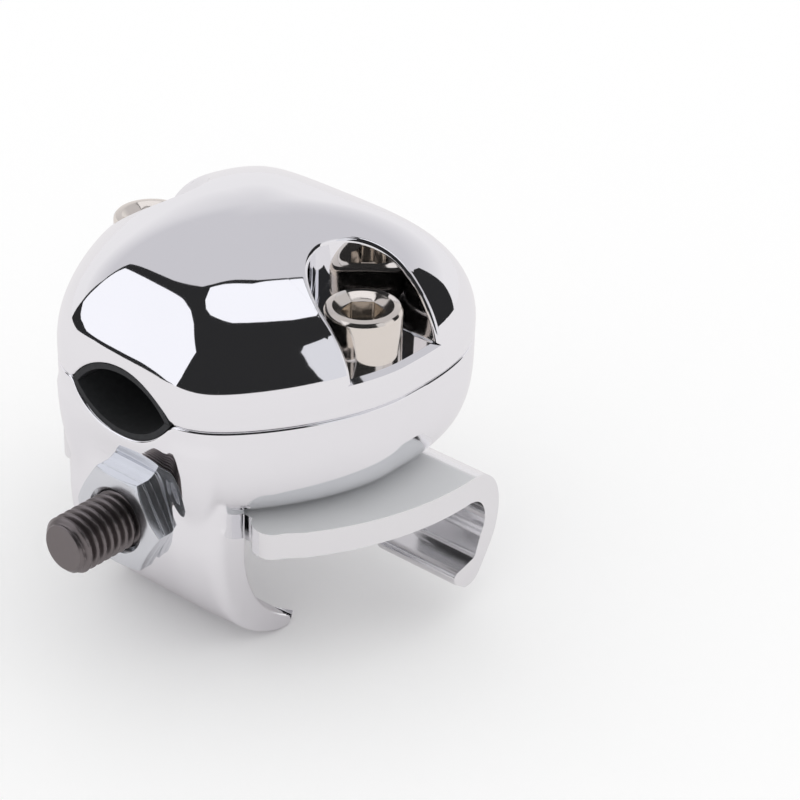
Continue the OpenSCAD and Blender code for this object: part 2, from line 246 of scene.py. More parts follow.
def body_edge(ring, up):
    """Rounded split edge and saddle rims below a half's ring of points, its split faces and its saddle.
    up is 1 for the cap and -1 for the base."""
    axis = np.array([0, 0, -up * saddle_drop])
    in_bore = np.abs(ring[:, 0]) < math.sqrt((saddle_r + rim) ** 2 - (saddle_drop + rim) ** 2) + 1e-6
    arm = (ring - axis) * [1, 0, 1]
    rim_corner = axis + ring * [0, 1, 0] + arm * saddle_r / np.linalg.norm(arm, axis=1, keepdims=True)
    edge_corner = ring * [1, 1, 0]
    corner = np.where(in_bore[:, None], rim_corner, edge_corner)
    inset = edge_corner + (np.array([0, centre_y, 0]) - edge_corner) * rim / half_w
    end = np.where(in_bore[:, None], rim_corner - [0, rim, 0] * np.sign(ring[:, 1:2]), inset)
    made = [patch(bezier(ring, corner, end), (0, 0, -up))]
    flat = ~in_bore & (ring[:, 0] > 0)
    outer = end[flat]
    outer = outer[np.argsort(np.arctan2(outer[:, 1], outer[:, 0]))]
    inner = np.stack([np.full(len(outer), bore_half_w), outer[:, 1], 0 * outer[:, 0]], -1)
    made += mirrored([patch(ruled(outer, inner, 4), (0, 0, -up))])
    turn = np.linspace(-1, 1, 49) * math.asin(bore_half_w / saddle_r)
    rows = []
    for side in (-1, 1):
        rim_points = end[in_bore & (np.sign(ring[:, 1]) == side)]
        rim_points = rim_points[np.argsort(rim_points[:, 0])]
        y = np.interp(np.sin(turn) * saddle_r, rim_points[:, 0], rim_points[:, 1])
        rows.append(np.stack([np.sin(turn) * saddle_r, y, up * (np.cos(turn) * saddle_r - saddle_drop)], -1))
    made.append(patch(ruled(rows[0], rows[1], 12), (0, 0, -up)))
    return made


# The dome's front and rear lobes run from the split edge up to a line along the pockets' outer rims and on
# over the top between them. low and low_t stand at the lobe's lower edge, high_t at its upper one.
line_y = pocket_r + roll              # outer edge of the pockets' rims, as a distance from their middle
side_z = np.linspace(belt_h, pocket_floor - sill, 7)
joint_z = {s: dome_z(screw_x, pocket_y + s * line_y - centre_y) for s in (-1, 1)}
even = np.linspace(-1, 1, 101)
middle = screw_x * (0.35 * even + 0.65 * even ** 3)   # columns between the pockets, closest over the bar
lobes, foot = {}, {}                  # the dome before and behind the pockets, and its lower edge
for s in (-1, 1):
    y = pocket_y + s * line_y - centre_y
    rise = np.concatenate([side_z[:-1], np.linspace(side_z[-1], joint_z[s], 30)])
    flank = x_at(dome_size(rise), y)
    top_x = np.concatenate([-flank[:-1], middle, flank[:-1][::-1]])
    top_size = size_at(top_x, y)
    turn = np.arctan2(y, top_x)
    full = 1 / size_at(np.cos(turn), np.sin(turn))
    low = np.full(len(turn), rim)
    for _ in range(12):
        x = full * np.cos(turn) * dome_size(low)
        low = np.maximum(rim, np.sqrt(np.clip((saddle_r + rim) ** 2 - x ** 2, 0, None)) - saddle_drop)
    high_t = np.arccos(np.clip(top_size, 0, 1) ** (dome_n / 2))
    low_t = np.where(low > belt_h, np.arcsin((np.clip(low - belt_h, 0, None) / dome_h) ** (dome_n / 2)),
                     (low - belt_h) / dome_h)
    t = low_t + (high_t - low_t) * np.linspace(0, 1, 64)[:, None]
    size = np.where(t > 0, np.cos(t) ** (2 / dome_n), 1)
    z = belt_h + dome_h * np.where(t > 0, np.abs(np.sin(t)) ** (2 / dome_n), t)
    lobes[s] = np.stack([size * full * np.cos(turn), centre_y + size * full * np.sin(turn), z], -1)
    foot[s] = lobes[s][0]

# Between the lobes: the ridge, which narrows round the pockets' ends, and the side below the right pocket.
swing = np.radians(np.linspace(-90, 90, 61))
mid_x = (screw_x - line_y * np.cos(swing))[:, None] * middle / screw_x
mid_y = np.broadcast_to((pocket_y + line_y * np.sin(swing))[:, None], mid_x.shape)
mid = np.stack([mid_x, mid_y, dome_z(mid_x, mid_y - centre_y)], -1)
half_rim = pocket_r + roll / 2
across = np.concatenate([[-line_y, -half_rim], np.linspace(-pocket_r, pocket_r, 41), [half_rim, line_y]])
across = across + pocket_y
up_z = np.concatenate([np.linspace(rim, belt_h, 5)[:-1], side_z])[:, None]
side = np.stack([x_at(dome_size(up_z), across - centre_y), across + 0 * up_z, up_z + 0 * across], -1)

# The right pocket: a rolled rim, straight in front and behind and round inside, a wall, and a floor with a
# bevel along its open side. start is the rim's outer line, corner the sharp edge it replaces, end its inner.
count = len(flank) - len(side_z)      # points of a rim's straight stretch
rim_start, rim_corner = [], []
for s in (-1, 1):
    start = lobes[s][-1][::-1][len(side_z) - 1:len(side_z) + count]
    near = dome_z(screw_x, pocket_y + s * pocket_r - centre_y) - joint_z[s]
    z = start[:, 2] + near * (start[:, 2] - start[0, 2]) / (start[-1, 2] - start[0, 2])
    z = np.maximum(z, pocket_floor)
    y = np.full(len(z), pocket_y + s * pocket_r)
    corner = np.stack([x_at(dome_size(z), y - centre_y), y, z], -1)
    rim_start.append(start)
    rim_corner.append(corner)
curve_x, curve_y = screw_x - pocket_r * np.cos(swing), pocket_y + pocket_r * np.sin(swing)
curve = np.stack([curve_x, curve_y, dome_z(curve_x, curve_y - centre_y)], -1)
start = np.concatenate([rim_start[0], mid[1:-1, -1], rim_start[1][::-1]])
corner = np.concatenate([rim_corner[0], curve[1:-1], rim_corner[1][::-1]])
inward = np.concatenate([np.tile([0, 1, 0], (len(rim_start[0]), 1)),
                         np.stack([np.cos(swing), -np.sin(swing), 0 * swing], -1)[1:-1],
                         np.tile([0, -1, 0], (len(rim_start[1]), 1))])
drop = np.cross(np.gradient(corner, axis=0), inward)
drop = np.where(corner[:, 2:] > pocket_floor + 1e-6, drop, [-1, 0, 0])
end = corner + roll * drop / np.linalg.norm(drop, axis=1, keepdims=True)
end[:, 2] = np.maximum(end[:, 2], pocket_floor)
wall_foot = np.stack([end[:, 0], end[:, 1], np.minimum(end[:, 2], pocket_floor + rim)], -1)
below = end * [1, 1, 0] + [0, 0, pocket_floor]
floor_edge = below + inward * (wall_foot[:, 2:] - pocket_floor)
floor_y = across[2:-2]
lip_x = x_at(dome_size(pocket_floor), floor_y - centre_y)
lip = np.stack([lip_x, floor_y, np.full(len(floor_y), pocket_floor)], -1)
floor_x = screw_x - np.sqrt(np.clip(pocket_r ** 2 - (floor_y - pocket_y) ** 2, 0, None))
floor_in = np.stack([floor_x, floor_y, np.full(len(floor_y), pocket_floor)], -1)
floor_out = lip - [roll, 0, 0]
bevel = patch(ruled(side[-1, 2:-2], floor_out, 4), (1, 0, 1))


def like(made, other):
    """A small patch that takes the mean normal of another, so that it shines as one with it."""
    mean = other[1].mean(axis=(0, 1))
    return made[0], np.broadcast_to(mean / np.linalg.norm(mean), made[1].shape)


half = [
    patch(side, (1, 0, 0)),
    patch(bezier(start, corner, end), (0, 0, 1)),
    patch(ruled(end, wall_foot, 12), (1, 0, 0)),
    patch(bezier(wall_foot, below, floor_edge, 5), (1, 0, 1)),
    patch(ruled(floor_in, floor_out, 4), (0, 0, 1)),
    bevel,
    like(patch(ruled(side[-1, :3], floor_out[:1], 4), (1, 0, 1)), bevel),
    like(patch(ruled(side[-1, -3:], floor_out[-1:], 4), (1, 0, 1)), bevel),
]
left_side = (side[0] * [-1, 1, 1])[::-1]
ring = np.concatenate([foot[-1], side[0, 1:-1], foot[1][::-1], left_side[1:-1], foot[-1][:1]])
chrome = metal("polished_chrome", (0.93, 0.93, 0.95), (0.02, 0.05), 0.004, 60)
cap_patches = [patch(lobes[-1], (0, -1, 0)), patch(lobes[1], (0, 1, 0)), patch(mid, (0, 0, 1))]
cap_patches += mirrored(half) + body_edge(ring, 1)
put("cap_casting", cap_patches, "cap", chrome, "cap")


# ---------------------------------------------------------------- the base
# Lower half of the body with its leg and hook: one chromed casting of the same zinc alloy.
# The bar lies in its saddle, the rail behind its hook, and the claw's barrel in the keyway below.

base_h = 15.0
draw = 11.0 / half_w                  # how far the side draws in, as a share of its size
side_n = 3.3                          # roundness of the side
stud_z = -17.0
key_r = 6.6                           # radius of the keyway
leg_back, leg_front = -16.2, -23.4
leg_half = 13.8                       # half width of the leg
seat_half = 7.6                       # half width of the flat that the nut sits on
bow_r = 40.0                          # radius of the leg's front beside that flat
leg_round, back_round = 2.5, 0.35     # corners of the leg in front and behind
lean_y, lean_z = -25.1, -5.2          # the front starts here to lean back to the leg
lean_slope = 0.395
lean_top = -3.5                       # above this the front stays sharp against its side
lean_soft = 0.8                       # width over which the leaning face runs into the side
fillet_narrow, fillet_wide = 0.9, 3.5   # width of the fillet over the leg: in its middle and at its corners
fillet_x = (7.0, 10.5)                # it widens between these distances from the middle
fillet_y = (-20.2, -22.6)             # and from nothing to its full width between these
join_y, join_z = -19.9, -3.0          # the leg and the body are joined in front of and below these


def bowl(t, full, turn):
    """Point of the side at t, from 0 at the split face to 90 degrees at the underside."""
    size = 1 - draw * (1 - np.cos(t) ** (2 / side_n))
    z = -base_h * np.sin(t) ** (2 / side_n)
    return np.stack([size * full * np.cos(turn), centre_y + size * full * np.sin(turn), z], -1)


def bowl_turn(z):
    """The t at which the side has height z."""
    return np.arcsin(np.clip(-z / base_h, 0, 1) ** (side_n / 2))


# The skin runs from the rim at the split face down to the underside, the keyway or the leg's back. top_t and
# foot_t are its upper and lower ends.
turn = np.radians(np.linspace(-180, 180, 289))
full = 1 / size_at(np.cos(turn), np.sin(turn))
top_t, foot_t = bowl_turn(np.full(len(turn), -rim)), np.full(len(turn), math.pi / 2)
rear = turn > 0
for _ in range(20):
    x = bowl(top_t, full, turn)[:, 0]
    arch = saddle_drop - np.sqrt(np.clip((saddle_r + rim) ** 2 - x ** 2, 0, None))
    top_t = bowl_turn(np.minimum(-rim, arch))
key_x = math.sqrt(key_r ** 2 - (base_h + stud_z) ** 2)
shallow, deep = 0 * turn, foot_t
for _ in range(40):                   # halving finds where the rear of the skin meets the keyway
    mean = (shallow + deep) / 2
    at_mean = bowl(mean, full, turn)
    clear = np.hypot(at_mean[:, 0], at_mean[:, 2] - stud_z) > key_r
    shallow, deep = np.where(clear, mean, shallow), np.where(clear, deep, mean)
foot_t = np.where(rear, deep, foot_t)
near = ~rear & (np.abs(bowl(foot_t, full, turn)[:, 0]) < key_x)
room = np.clip((leg_back - centre_y) / (full * np.sin(turn) + 1e-9), 0, 1)
cut_t = np.arccos(np.clip(1 - (1 - room) / draw, 0, 1) ** (side_n / 2))
foot_t = np.where(near, np.minimum(foot_t, cut_t), foot_t)
share = np.linspace(0, 1, 60)[:, None]
skin = bowl(top_t + (foot_t - top_t) * share, full, turn)


def ramp(value, start, stop):
    """From 0 where the value is start to 1 where it is stop, level at both ends."""
    share = np.clip((value - start) / (stop - start), 0, 1)
    return share * share * (3 - 2 * share)


def outside_bowl(p):
    """Distance outside the base's side, whose front leans back below the bore to meet the leg."""
    x, y, z = p[..., 0], p[..., 1], p[..., 2]
    inner = np.clip(1 - (1 - size_at(x, y - centre_y)) / draw, 0, None)
    bulge = inner ** side_n + np.clip(-z / base_h, 0, None) ** side_n - 1
    mean_r, face_scale = 28, 0.93     # these turn the two forms into distances in millimetres
    steep = np.maximum(side_n / draw * inner ** (side_n - 1) / mean_r, side_n / base_h)
    side = bulge / steep
    face = (lean_y + lean_slope * (lean_z - z) - y) * face_scale
    joint = np.clip(lean_soft - np.abs(side - face), 0, None) ** 2 / (4 * lean_soft)
    return np.maximum(side, face) + joint * (z < lean_top)


def outside_leg(p):
    """Distance outside the leg's upright part: a bowed front with rounded corners."""
    x = np.abs(p[..., 0])
    bow = np.sqrt(bow_r ** 2 - seat_half ** 2) - np.sqrt(bow_r ** 2 - np.clip(x, seat_half, leg_half) ** 2)
    side = x - leg_half + leg_round
    face = leg_front + bow + leg_round - p[..., 1]
    outside = np.hypot(np.clip(side, 0, None), np.clip(face, 0, None))
    return outside + np.minimum(np.maximum(side, face), 0) - leg_round


def fillet(p):
    """Width of the hollow fillet between the leg and the base: wide at the leg's corners, next to none
    along its side."""
    width = fillet_narrow + (fillet_wide - fillet_narrow) * ramp(np.abs(p[..., 0]), *fillet_x)
    return 0.02 + width * ramp(p[..., 1], *fillet_y)


def blend(p):
    """Distance outside the base and leg joined by the fillet: the smooth least of their distances."""
    bowl, leg, k = outside_bowl(p), outside_leg(p), fillet(p)
    return np.minimum(bowl, leg) - np.clip(k - np.abs(bowl - leg), 0, None) ** 2 / (4 * k)


def slope_of(form, p):
    """Gradient of a distance, from differences."""
    step = 1e-3
    ways = np.eye(3) * step
    return np.stack([form(p + way) - form(p - way) for way in ways], -1) / (2 * step)


def settle(p, form, mask):
    """The masked points, moved along the gradient until they lie on the form's surface."""
    p = p.copy()
    own = p[mask]
    for _ in range(14):
        slope = slope_of(form, own)
        own = own - np.clip(form(own), -0.6, 0.6)[:, None] * slope / (slope ** 2).sum(axis=1, keepdims=True)
    p[mask] = own
    return p


def join(points, own, other):
    """A part's sheet of points, drawn out into the fillet where the other part is near; past the joint
    it sinks back to its own form, which lies inside the other part."""
    away = other(points)
    zone = (points[..., 1] < join_y) & (points[..., 2] < join_z) & (away > -1.6) & (away < 3.8)
    drawn = settle(points, blend, zone)
    past = own(drawn) - other(drawn)
    sink = np.maximum(ramp(past, 0.1, 1) * zone, ramp(away, 3, 3.7))
    return drawn + (points - drawn) * sink[..., None]


def joined(made, other):
    """A patch whose normals, where it takes part in the fillet, are those of the joined surface."""
    points, normals = made
    away = other(points)
    near = (points[..., 2] < -3.6) & (fillet(points) > 0.3) & (away > -1.5) & (away < 4)
    smooth = slope_of(blend, points[near])
    normals = normals.copy()
    normals[near] = smooth / np.linalg.norm(smooth, axis=1, keepdims=True)
    return points, normals


# The skin's front is laid on the leaning face and joined to the leg; the flat underside and the keyway's arch
# close it below.
skin = settle(skin, outside_bowl, (skin[..., 1] < -12) & (skin[..., 2] < join_z))
skin = join(skin, outside_bowl, outside_leg)
under = skin[-1]
flat = (under[:, 0] > key_x - 0.05) & (under[:, 2] < -base_h + 0.02)
outer = under[flat]
inner = np.stack([np.full(len(outer), key_x), outer[:, 1], np.full(len(outer), -base_h)], -1)
arch_turn = np.linspace(-1, 1, 41) * math.acos((-base_h - stud_z) / key_r)
arch_x, arch_z = key_r * np.sin(arch_turn), stud_z + key_r * np.cos(arch_turn)
rear_y = np.interp(arch_x, under[rear][::-1, 0], under[rear][::-1, 1])
arch_rows = [np.stack([arch_x, y + 0 * arch_x, arch_z], -1) for y in (leg_back, rear_y)]
base_patches = [joined(patch(skin, (0, 0, -1)), outside_leg),
                patch(ruled(arch_rows[0], arch_rows[1], 8), (0, 0, -1))]
base_patches += mirrored([patch(ruled(outer, inner, 4), (0, 0, -1))])
base_patches += body_edge(skin[0], -1)


def arc(centre, radius, start, stop, steps):
    """Points of an arc in the side view, between two angles in degrees."""
    a = np.radians(np.linspace(start, stop, steps))
    return np.array(centre) + radius * np.stack([np.cos(a), np.sin(a)], -1)


def spread(points, count):
    """The line through points, with count points at even distances."""
    run = np.concatenate([[0], np.cumsum(np.linalg.norm(np.diff(points, axis=0), axis=1))])
    at = np.linspace(0, run[-1], count)
    return np.stack([np.interp(at, run, points[:, k]) for k in range(2)], -1)


# The leg is a section carried down its upright part and on round the hook. back and front are its two faces
# in the side view.
leg_top = -5.6                        # it starts inside the base
hook_in, hook_in_r = np.array([-0.6, -20.8]), 15.6
hook_out, hook_out_r = np.array([-4.4, -18.1]), 19.0
hook_turn = 62                        # how far the hook curls under the rail, in degrees
tip_r = 1.1
tip_way = math.radians(180 + hook_turn)
tip = hook_in + (hook_in_r + tip_r) * np.array([math.cos(tip_way), math.sin(tip_way)])
tip_mid = -8.0                        # direction of the hook's very end, in degrees
out_end = math.degrees(math.atan2(tip[1] - hook_out[1], tip[0] - hook_out[0])) % 360 - 2
upright_z = np.linspace(leg_top, hook_out[1], 60)[:-1]
back = np.concatenate([[[leg_back, hook_out[1]]], arc(hook_in, hook_in_r, 180, 180 + hook_turn, 60),
                       arc(tip, tip_r, hook_turn, tip_mid, 10)])
front = np.concatenate([arc(hook_out, hook_out_r, 180, out_end, 60),
                        arc(tip, tip_r, -90 + hook_turn / 3, tip_mid, 10)])
back, front = (
    np.concatenate([np.stack([np.full(len(upright_z), line[0, 0]), upright_z], -1), spread(line, 90)])
    for line in (back, front))
thick = np.linalg.norm(back - front, axis=1)


def leg_section(depth, upright):
    """Half of the leg's section: across from the middle of its front, round the corners, to its back.
    The bow and the corners fade where the front is no longer upright."""
    hook_round = 0.7
    r = min(hook_round + (leg_round - hook_round) * upright, depth * 0.45)
    big = bow_r / max(upright, 0.03)
    bow_y = -math.sqrt(big ** 2 - seat_half ** 2)
    corner_x = leg_half - r
    corner_y = math.sqrt((big - r) ** 2 - corner_x ** 2) + bow_y
    first = math.atan2(-bow_y, seat_half)
    last = math.atan2(corner_y - bow_y, corner_x)
    a = np.linspace(first, last, 16)
    bow = np.stack([big * np.cos(a), -bow_y - big * np.sin(a)], -1)
    b = np.linspace(last, 0, 12)[1:]
    turned = np.stack([corner_x + r * np.cos(b), -corner_y - r * np.sin(b)], -1)
    q = min(back_round, depth * 0.3)
    c = np.radians(np.linspace(0, 90, 7))
    rear_edge = np.stack([leg_half - q + q * np.cos(c), depth - q + q * np.sin(c)], -1)
    flank = np.stack([np.full(6, leg_half), np.linspace(turned[-1, 1], rear_edge[0, 1], 8)[1:-1]], -1)
    seat = np.stack([np.linspace(0, seat_half, 10)[:-1], np.zeros(9)], -1)
    rear_flat = np.stack([np.linspace(leg_half - q, 0, 12)[1:], np.full(11, depth)], -1)
    return np.concatenate([seat, bow, turned, flank, rear_edge, rear_flat])


along = np.gradient(front, axis=0)
upright = (along[:, 1] / np.linalg.norm(along, axis=1)) ** 4
halves = np.stack([leg_section(max(d, 0.02), u) for d, u in zip(thick, upright)])
inside = (back - front) / np.maximum(thick, 1e-6)[:, None]
inside[-1] = inside[-2]
leg = np.stack([halves[..., 0], front[:, :1] + inside[:, :1] * halves[..., 1],
                front[:, 1:] + inside[:, 1:] * halves[..., 1]], -1)
leg = join(leg, outside_leg, outside_bowl)
base_patches += mirrored([joined(patch(leg, (1, 0, 0)), outside_bowl)])
put("base_casting", base_patches, "base", chrome, "base")


# ---------------------------------------------------------------- the claw
# Chromed steel strap that slides under the base: a waisted plate, notched in front for the leg, whose two
# fingers bend down and back under the rail's edge. A barrel welded beneath it holds the stud.

claw_low, claw_high = box_mm("claw")
plate_top, plate_t = -15.1, 3.8
side_r = 39.7                         # the plate's sides are bowed to this radius
side_centre = np.array([claw_high[0] - side_r, 9.4])
notch_x, notch_y = 14.2, -15.8        # half width and back of the notch for the leg
horn_front, horn_r, horn_in_r = -17.6, 2.4, 3.3   # front end of the plate's horns beside the notch
finger_x, finger_back = 15.5, 18.1    # inner side and back of the fingers
lip_low = claw_low[2]
bend_r, low_r, lip_r = 7.6, 3.3, 1.1  # outer radii of a finger's upper and lower bend and of its end
fold_r = low_r / 4                    # inner radius of the lower bend
lip_t = 3.9                           # thickness of the lip at the lower bend
lip_way = -105                        # the lip's underside faces this way, in degrees
bend = np.array([finger_back - bend_r, plate_top - bend_r])
low = np.array([11.0, lip_low + low_r])
shank = math.degrees(math.atan2(low[1] - bend[1], low[0] - bend[0])
                     + math.acos((bend_r - low_r) / np.linalg.norm(low - bend)))
lip = np.array([9.0, lip_low + lip_r + low_r / 3])
fold = np.array([low[0] + low_r / 5, lip_low + lip_t + fold_r])


def on(centre, radius, angle):
    """The point of a circle in the side view at an angle in degrees."""
    return arc(centre, radius, angle, angle, 1)[0]


def straight(a, b, steps):
    """Points from a to b without a itself."""
    return a + (b - a) * np.linspace(0, 1, steps + 1)[1:, None]


# outer and inner are the strap's two faces in the side view, from the plate's front to the lip's end.
horn_y = horn_front + horn_r * (1 - np.cos(np.radians(np.arange(0, 85, 10))))
flat_y = np.concatenate([horn_y[horn_y < notch_y], [notch_y], np.linspace(-14, bend[0], 26)])
outer = np.concatenate([
    np.stack([flat_y, np.full(len(flat_y), plate_top)], -1),
    arc(bend, bend_r, 90, shank, 22)[1:],
    straight(on(bend, bend_r, shank), on(low, low_r, shank), 6),
    arc(low, low_r, shank, lip_way, 14)[1:],
    straight(on(low, low_r, lip_way), on(lip, lip_r, lip_way), 3),
    arc(lip, lip_r, lip_way, -190, 5)[1:]])
inner = np.concatenate([
    np.stack([flat_y, np.full(len(flat_y), plate_top - plate_t)], -1),
    arc(bend, bend_r - plate_t, 90, shank, 22)[1:],
    straight(on(bend, bend_r - plate_t, shank), on(fold, fold_r, shank), 6),
    arc(fold, fold_r, shank, -90, 14)[1:],
    straight(on(fold, fold_r, -90), on(lip, lip_r, -270), 3),
    arc(lip, lip_r, -270, -190, 5)[1:]])
outer[-1], inner[-1] = on(lip, lip_r, -180), on(lip, lip_r, -200)
inside_x = np.linspace(-notch_x, notch_x, 15)
finger_round = 3.0                    # lower inner corner of each finger
arm = 8                               # cells across each finger


def claw_sheet(line):
    """The strap's face along a line in the side view: across it, finger, notch, plate, notch and finger."""
    y, z = line[:, :1], line[:, 1:]
    edge = side_centre[0] + np.sqrt(side_r ** 2 - (y - side_centre[1]) ** 2)
    horn_y = horn_front + horn_r
    horn_x = side_centre[0] + math.sqrt((side_r - horn_r) ** 2 - (horn_y - side_centre[1]) ** 2)
    rounded = horn_x + np.sqrt(np.clip(horn_r ** 2 - (y - horn_y) ** 2, 0, None))
    edge = np.where(y < horn_y, np.minimum(edge, rounded), edge)
    over = z - lip_low - finger_round
    cut = finger_x + finger_round - np.sqrt(np.clip(finger_round ** 2 - over ** 2, 0, None))
    gap = np.where(over < 0, cut, finger_x)
    round_y = np.clip(horn_front + horn_in_r - y, 0, horn_in_r)
    notch = notch_x + horn_in_r - np.sqrt(horn_in_r ** 2 - round_y ** 2)
    gap = np.maximum(gap, notch + 0.1 * (edge - notch))
    wing = gap + (edge - gap) * np.linspace(0, 1, arm + 1)
    x = np.concatenate([-wing[:, ::-1], inside_x * notch / notch_x, wing], axis=1)
    return np.stack([x, y + 0 * x, z + 0 * x], -1)


top, bottom = claw_sheet(outer), claw_sheet(inner)
row, column = np.indices((len(outer) - 1, top.shape[1] - 1))
last = top.shape[1] - 2 - arm
in_notch = (row < np.argmin(np.abs(flat_y - notch_y))) & (column > arm) & (column < last)
between_fingers = (row >= np.argmin(np.abs(flat_y - bend[0]))) & (column >= arm) & (column <= last)
solid = ~(in_notch | between_fingers)


def slab(top, bottom, solid):
    """Closed mesh between two grids, over the cells that are solid, as vertices and faces."""
    rows, columns = top.shape[:2]
    index = np.arange(rows * columns).reshape(rows, columns)
    cell = np.stack([index[:-1, :-1], index[1:, :-1], index[1:, 1:], index[:-1, 1:]], -1)[solid]
    edges = np.concatenate([cell[:, [k, (k + 1) % 4]] for k in range(4)])
    key = edges[:, 0] * rows * columns + edges[:, 1]
    twin = edges[:, 1] * rows * columns + edges[:, 0]
    rim_edges = edges[~np.isin(key, twin)]
    lower = rows * columns
    first, second = rim_edges.T
    walls = np.stack([second, first, first + lower, second + lower], -1)
    used, faces = np.unique(np.concatenate([cell, cell[:, ::-1] + lower, walls]), return_inverse=True)
    vertices = np.concatenate([top.reshape(-1, 3), bottom.reshape(-1, 3)])
    return vertices[used], faces.reshape(-1, 4)


def solid_piece(name, vertices, faces, body, material, *nodes, edge=0.0):
    """Closed piece from vertices in millimetres, welded, with its sharp edges rounded."""
    mesh = bpy.data.meshes.new(name)
    mesh.from_pydata(vertices / 1000, [], faces)
    work = bmesh.new()
    work.from_mesh(mesh)
    bmesh.ops.remove_doubles(work, verts=work.verts, dist=weld)
    bmesh.ops.recalc_face_normals(work, faces=work.faces)
    work.to_mesh(mesh)
    work.free()
    mesh.shade_smooth()
    sharp = math.radians(32)
    mesh.set_sharp_from_angle(angle=sharp)
    piece = stand(bpy.data.objects.new(name, mesh), body, material, *nodes)
    if edge:
        bevel = piece.modifiers.new("rounded_edges", "BEVEL")
        bevel.width = edge / 1000
        bevel.segments = 3
        bevel.limit_method = "ANGLE"
        bevel.angle_limit = sharp
        bevel.harden_normals = True
    return piece


satin = metal("satin_chrome", (0.90, 0.90, 0.91), (0.14, 0.20), 0.004, 60)
nodes, links = satin.node_tree.nodes, satin.node_tree.links
height = nodes.new("ShaderNodeSeparateXYZ")
links.new(nodes.new("ShaderNodeTexCoord").outputs["Object"], height.inputs["Vector"])
dull_top_painted_grey = nodes.new("ShaderNodeMapRange")   # the plate's top is duller, and its grey tint and low metallic paint the even grey reflection that it shows
dull_top_painted_grey.inputs["From Min"].default_value = (plate_top - 0.12) / 1000
dull_top_painted_grey.inputs["From Max"].default_value = (plate_top - 0.02) / 1000
links.new(height.outputs["Z"], dull_top_painted_grey.inputs["Value"])
# Painted reflection: on the plate's top the grey base colour and the lower metallic give a flat grey that
# stands in for the grey the top reflects; the higher roughness there is its own duller finish.
rough, bare, painted_top_grey = (nodes.new("ShaderNodeMix") for _ in range(3))
rough.inputs["B"].default_value = 0.5
links.new(nodes["coat"].outputs["Roughness"], rough.inputs["A"])
bare.inputs["A"].default_value = 1
bare.inputs["B"].default_value = 0.25
painted_top_grey.data_type = "RGBA"
painted_top_grey.inputs["B"].default_value = (0.76, 0.77, 0.78, 1)
links.new(nodes["coat"].outputs["Colour"], painted_top_grey.inputs["A"])
for change, socket in ((rough, "Roughness"), (bare, "Metallic"), (painted_top_grey, "Base Color")):
    links.new(dull_top_painted_grey.outputs["Result"], change.inputs["Factor"])
    links.new(change.outputs["Result"], nodes["Principled BSDF"].inputs[socket])
strap = solid_piece("claw_strap", *slab(top, bottom, solid), "claw", satin, "claw", edge=0.3)


def turned(profile, radius=None):
    """Grid of a profile of (radius, height) turned about +Z, where radius may reshape each row."""
    a = np.linspace(0, 2 * math.pi, 97)
    r = np.broadcast_to(profile[:, :1], (len(profile), len(a)))
    if radius is not None:
        r = radius(r, profile[:, 1:], a)
    return np.stack([r * np.cos(a), r * np.sin(a), profile[:, 1:] + 0 * r], -1)


def grid_faces(points):
    """Vertices and faces of one grid."""
    index = np.arange(points.shape[0] * points.shape[1]).reshape(points.shape[:2])
    faces = np.stack([index[:-1, :-1], index[:-1, 1:], index[1:, 1:], index[1:, :-1]], -1).reshape(-1, 4)
    return points.reshape(-1, 3), faces


def along_y(points, y, z):
    """A piece turned about Z, laid along -Y, with its foot at y."""
    return np.stack([points[..., 0], y - points[..., 2], z + points[..., 1]], -1)


barrel_r, barrel_back = 6.5, 13.0
barrel_l = barrel_back - notch_y
barrel_floor = 5.0                    # the barrel is flat this far below the stud
stud_hole, hole_end, chamfer = 4.05, 10, 0.4
barrel = turned(np.array([
    [0, 0], [barrel_r - chamfer, 0], [barrel_r, chamfer], [barrel_r, barrel_l - chamfer],
    [barrel_r - chamfer, barrel_l], [stud_hole, barrel_l], [stud_hole, hole_end], [0, hole_end]]))
barrel = along_y(barrel, barrel_back, stud_z)
barrel[..., 2] = np.maximum(barrel[..., 2], stud_z - barrel_floor)
solid_piece("claw_barrel", *grid_faces(barrel), "claw", chrome)


# ---------------------------------------------------------------- the cap screws
# Two M6 socket head screws of nickel plated steel, turned and broached, that hold the cap on the base.

head_r, head_h = 5.1, 6.4
shank_r, shank_l = 3.0, 16.0
socket_r = 2.5                        # half of the hexagon across its flats
mouth_r, hex_r = 3.8, 2.95            # the cone that leads into it, at its top and foot
socket_turn = math.radians(13)
nickel = metal("bright_nickel", (0.82, 0.77, 0.71), (0.08, 0.16), 0.05, 400)


def hex_radius(across, a):
    """Distance to a hexagon's side at angle a, for its half width across the flats."""
    return across / np.cos((a + math.pi / 6) % (math.pi / 3) - math.pi / 6)


screw = np.array([
    [0, -shank_l], [shank_r - 0.4, -shank_l], [shank_r, 0.4 - shank_l], [shank_r, 0], [head_r, 0],
    [head_r, head_h - 0.7], [head_r - 0.06, head_h - 0.4], [head_r - 0.3, head_h - 0.1],
    [head_r - 0.7, head_h], [mouth_r + 0.15, head_h], [mouth_r, head_h - 0.1], [hex_r, head_h - 0.75],
    [socket_r, head_h - 0.8], [socket_r, head_h / 2], [0.001, head_h / 2 - 0.4]])


def broach(r, z, a):
    """The socket below its mouth is a hexagon."""
    inside = (r <= socket_r) & (z > 2)
    share = np.clip(r / socket_r, 0, 1)
    return np.where(inside, share * hex_radius(socket_r, a - socket_turn), r)


for label, s in (("right", 1), ("left", -1)):
    shape = turned(screw, broach) + [s * screw_x, 0, pocket_floor]
    node = label + "_cap_screw"
    solid_piece(label + "_screw", *grid_faces(shape), node, nickel, node)


# ---------------------------------------------------------------- the stud
# M8 stud of blackened steel with a rolled thread, screwed into the claw's barrel. It comes out through
# the leg.

stud_low, stud_high = box_mm("claw_stud")
stud_l = stud_high[1] - stud_low[1]
stud_r, pitch, thread_t, stud_chamfer = stud_high[0], 1.25, 0.8, 0.9
rows_per_turn = 16
rise = np.linspace(0, stud_l, int(stud_l / pitch * rows_per_turn) + 1)


